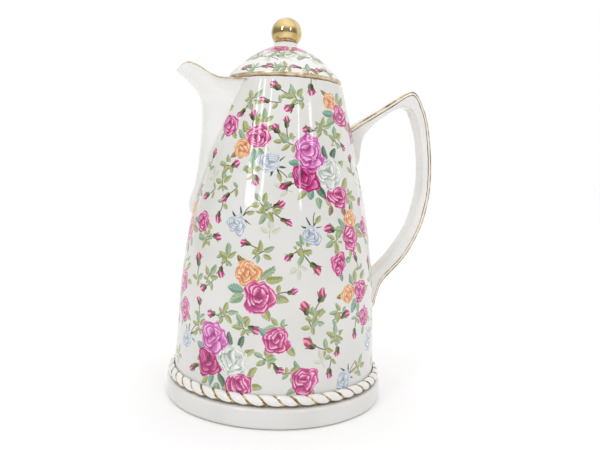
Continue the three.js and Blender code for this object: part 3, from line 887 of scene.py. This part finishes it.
def glaze(name, white, prints=False, lines=(), rim=None, gilding=LINE_GOLD):
    """Clear-glazed white porcelain, with or without gilding.

    lines are (middle, half width) of gold lines on the piece's gilt distance, and rim is (low, high) of a
    gilded band by height.
    """
    material, tree, shader = new_material(name)
    mottle, _ = noise(tree, 38)
    cream = [v - d for v, d in zip(white, (7, 7, 9))]
    color = over(tree, mottle.step(0.35, 0.7), srgb(*white), srgb(*cream))
    if prints:
        color = printed(tree, color)
    gold = None
    ripple, wander = noise(tree, 5, 2)
    if lines:
        node = tree.nodes.new("ShaderNodeAttribute")
        node.attribute_name = "gilt"
        distance = Signal(tree, node.outputs["Fac"]) + wander[0] * 0.4
        for middle, half in lines:
            line = (distance - middle).abs().step(half + LINE_FADE, half)
            gold = line if gold is None else gold.max(line)
    if rim:
        place = tree.nodes.new("ShaderNodeTexCoord")
        parts = tree.nodes.new("ShaderNodeSeparateXYZ")
        tree.links.new(place.outputs["Object"], parts.inputs[0])
        height = Signal(tree, parts.outputs[2]) / MM + wander[0] * 0.25
        low, high = rim
        gold = height.step(low, low + RIM_FADE) * height.step(high + RIM_FADE, high)
    if gold is not None:
        dark, light, metal = gilding
        color = over(tree, gold, color, over(tree, ripple.step(0.3, 0.7), srgb(*dark), srgb(*light)))
        connect(tree, gold * metal, shader.inputs["Metallic"])
        connect(tree, gold * 0.12 + ripple * 0.05 + 0.06, shader.inputs["Roughness"])
    else:
        connect(tree, ripple * 0.05 + 0.06, shader.inputs["Roughness"])
    connect(tree, color, shader.inputs["Base Color"])
    bump(tree, shader, noise(tree, 9, 1)[0], 0.03)
    return material


def wear(piece, material):
    if not piece.material_slots:
        piece.data.materials.append(material)
    for entry in piece.material_slots:
        entry.material = material


print_sheet(shell, shell_line, SHEET, SHEET_TURN)
print_sheet(lid, lid_line, LID_SHEET, LID_TURN, 0.9)
# the shell's glaze white is darkened as painted shade
wear(shell, glaze("glaze_printed", SHELL_SHADED_WHITE, prints=True))
wear(lid, glaze("glaze_lid", PLAIN_WHITE, prints=True, rim=(213.5, 216.3), gilding=RIM_GOLD))
wear(spout, glaze("glaze_spout", PLAIN_WHITE, lines=[(0.3, 0.8)], gilding=RIM_GOLD))
wear(handle, glaze("glaze_handle", PLAIN_WHITE, lines=[(0.2, 0.45), (2.1, 0.22)]))
wear(rope, glaze("glaze_rope", PLAIN_WHITE, lines=[(0, 0.18)]))
wear(base, glaze("glaze_base", BASE_WHITE))


def gilded_ball():
    material, tree, shader = new_material("gilding", metallic=1.0)
    cloud, _ = noise(tree, 6, 3)
    color = over(tree, cloud.step(0.3, 0.7), srgb(188, 164, 106), srgb(224, 202, 150))
    connect(tree, color, shader.inputs["Base Color"])
    connect(tree, cloud * 0.08 + 0.05, shader.inputs["Roughness"])
    return material


wear(knob, gilded_ball())


# ---------------------------------------------------------------- the parts inside
def moulded(name, dark, light, roughness, patch, grain, depth, **inputs):
    """A plain stuff, clouded over patch millimetres, with a surface grain of grain and depth millimetres."""
    material, tree, shader = new_material(name, **inputs)
    cloud, _ = noise(tree, patch, 4)
    pits, _ = noise(tree, grain, 3)
    connect(tree, over(tree, cloud.step(0.3, 0.7), srgb(*dark), srgb(*light)), shader.inputs["Base Color"])
    connect(tree, cloud * 0.15 + pits * 0.08 + (roughness - 0.11), shader.inputs["Roughness"])
    bump(tree, shader, pits, depth)
    return material


def stretched(name, dark, light, roughness, scale, depth, metallic=0.0, **inputs):
    """Fibres or brush marks: noise with its own scale, per millimetre, along each axis."""
    material, tree, shader = new_material(name, metallic=metallic, **inputs)
    place = tree.nodes.new("ShaderNodeTexCoord")
    mapping = tree.nodes.new("ShaderNodeMapping")
    mapping.inputs["Scale"].default_value = [v / MM for v in scale]
    fibre = tree.nodes.new("ShaderNodeTexNoise")
    fibre.inputs["Scale"].default_value = 1
    fibre.inputs["Detail"].default_value = 4
    tree.links.new(place.outputs["Object"], mapping.inputs["Vector"])
    tree.links.new(mapping.outputs["Vector"], fibre.inputs["Vector"])
    mark = Signal(tree, fibre.outputs["Fac"])
    connect(tree, over(tree, mark.step(0.3, 0.7), srgb(*dark), srgb(*light)), shader.inputs["Base Color"])
    connect(tree, mark * 0.2 + (roughness - 0.1), shader.inputs["Roughness"])
    bump(tree, shader, mark, depth)
    return material


def open_cell_foam():
    material, tree, shader = new_material("foam_cells", sheen_weight=0.2)
    place = tree.nodes.new("ShaderNodeTexCoord")
    cells = tree.nodes.new("ShaderNodeTexVoronoi")
    cells.inputs["Scale"].default_value = 1 / (0.9 * MM)
    tree.links.new(place.outputs["Object"], cells.inputs["Vector"])
    wall = Signal(tree, cells.outputs["Distance"])
    # painted shade: the colour is darker in the middles of the cells, the pores that the bump sinks
    color = over(tree, wall.step(0.1, 0.6), srgb(196, 186, 150), srgb(240, 234, 210))
    connect(tree, color, shader.inputs["Base Color"])
    connect(tree, wall * 0.15 + 0.8, shader.inputs["Roughness"])
    bump(tree, shader, wall, 0.3)
    return material


def silvered_glass():
    """Mirror coating seen through glass, with the faint runs that the silvering leaves."""
    material, tree, shader = new_material("silvered", metallic=0.95, coat_weight=0.8, coat_roughness=0.02)
    cloud, _ = noise(tree, 14, 4)
    specks, _ = noise(tree, 0.8, 2)
    silver = over(tree, cloud.step(0.35, 0.65), srgb(176, 178, 178), srgb(216, 217, 215))
    color = over(tree, specks.step(0.68, 0.74), silver, srgb(120, 112, 100))
    connect(tree, color, shader.inputs["Base Color"])
    connect(tree, cloud * 0.10 + 0.05, shader.inputs["Roughness"])
    bump(tree, shader, cloud, 0.1)
    return material


def dress(material, *nodes):
    for node in nodes:
        wear(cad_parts[node], material)


white_plastic = moulded("plastic_white", (222, 221, 216), (236, 235, 231), 0.38, 9, 0.4, 0.03)
ivory_plastic = moulded("plastic_ivory", (214, 205, 182), (228, 221, 201), 0.42, 9, 0.4, 0.03)
grey_rubber = moulded("rubber_grey", (74, 76, 78), (98, 100, 101), 0.78, 7, 0.3, 0.06)
silicone = moulded("silicone_clear", (204, 205, 201), (224, 225, 221), 0.40, 6, 0.6, 0.02, coat_weight=0.2)
felt = stretched("felt_grey", (116, 108, 98), (158, 150, 138), 0.92, (1.6, 1.6, 0.5), 0.2, sheen_weight=0.4)
steel = stretched("steel_turned", (150, 152, 154), (188, 190, 192), 0.28, (0.2, 0.2, 5), 0.02, 1.0)
brass = stretched("brass_turned", (166, 128, 62), (206, 170, 98), 0.30, (0.2, 0.2, 5), 0.02, 1.0)

dress(white_plastic, "pour_collar", "stopper_body", "stopper_cap", "lid_disc")
dress(ivory_plastic, "thread_ring")
dress(grey_rubber, "base_gasket", "bottom_cushion")
dress(silicone, "neck_seal", "stopper_seal")
dress(silvered_glass(), "liner_outer_bottle", "liner_inner_bottle")
dress(felt, "liner_pad_1", "liner_pad_2", "liner_pad_3")
dress(open_cell_foam(), "stopper_core")
dress(steel, "knob_stud", "stud_washer")
dress(brass, "stud_nut")


# ---------------------------------------------------------------- floor and light
def make_floor():
    bpy.ops.mesh.primitive_plane_add(size=60, location=(0, 0, -0.0002))
    floor = bpy.context.object
    floor.name = "floor"
    material = bpy.data.materials.new("floor_white")
    material.use_nodes = True
    shader = material.node_tree.nodes["Principled BSDF"]
    shader.inputs["Base Color"].default_value = (0.96, 0.96, 0.96, 1)
    shader.inputs["Roughness"].default_value = 0.9
    floor.data.materials.append(material)


def add_light(name, at, aim, size, power, stretch):
    light = bpy.data.lights.new(name, "AREA")
    light.shape = "RECTANGLE"
    light.size = size
    light.size_y = size * stretch
    light.energy = power
    lamp = bpy.data.objects.new(name, light)
    lamp.location = Vector(at)
    lamp.rotation_euler = (Vector(aim) - Vector(at)).to_track_quat("-Z", "Y").to_euler()
    bpy.context.scene.collection.objects.link(lamp)


FRONT_LIGHT = 0.36      # strength low down in front
TOP_LIGHT = 0.25        # extra strength overhead
LEFT_SHADE = 0.9        # share of the front's greyness that the left has


def make_world():
    """White all round, brighter overhead, greyer low down in front and to the left."""
    world = bpy.data.worlds.new("studio")
    world.use_nodes = True
    tree = world.node_tree
    place = tree.nodes.new("ShaderNodeTexCoord")
    parts = tree.nodes.new("ShaderNodeSeparateXYZ")
    tree.links.new(place.outputs["Generated"], parts.inputs[0])
    side, depth, height = (Signal(tree, s) for s in parts.outputs)
    front = depth.step(0.05, -0.6).max(side.step(-0.4, -0.85) * LEFT_SHADE) * height.step(0.75, 0.35)
    strength = (1 - front * (1 - FRONT_LIGHT)) + height.step(0.35, 0.85) * TOP_LIGHT
    connect(tree, strength, tree.nodes["Background"].inputs["Strength"])
    tree.nodes["Background"].inputs["Color"].default_value = (1, 1, 1, 1)
    bpy.context.scene.world = world


make_floor()
make_world()
add_light("strip_left", (-0.75, -0.75, 0.75), (0, 0, 0.12), 0.16, 1.9, 3.2)
add_light("strip_right", (0.40, -1.05, 0.7), (0, 0, 0.12), 0.12, 1.0, 3.2)
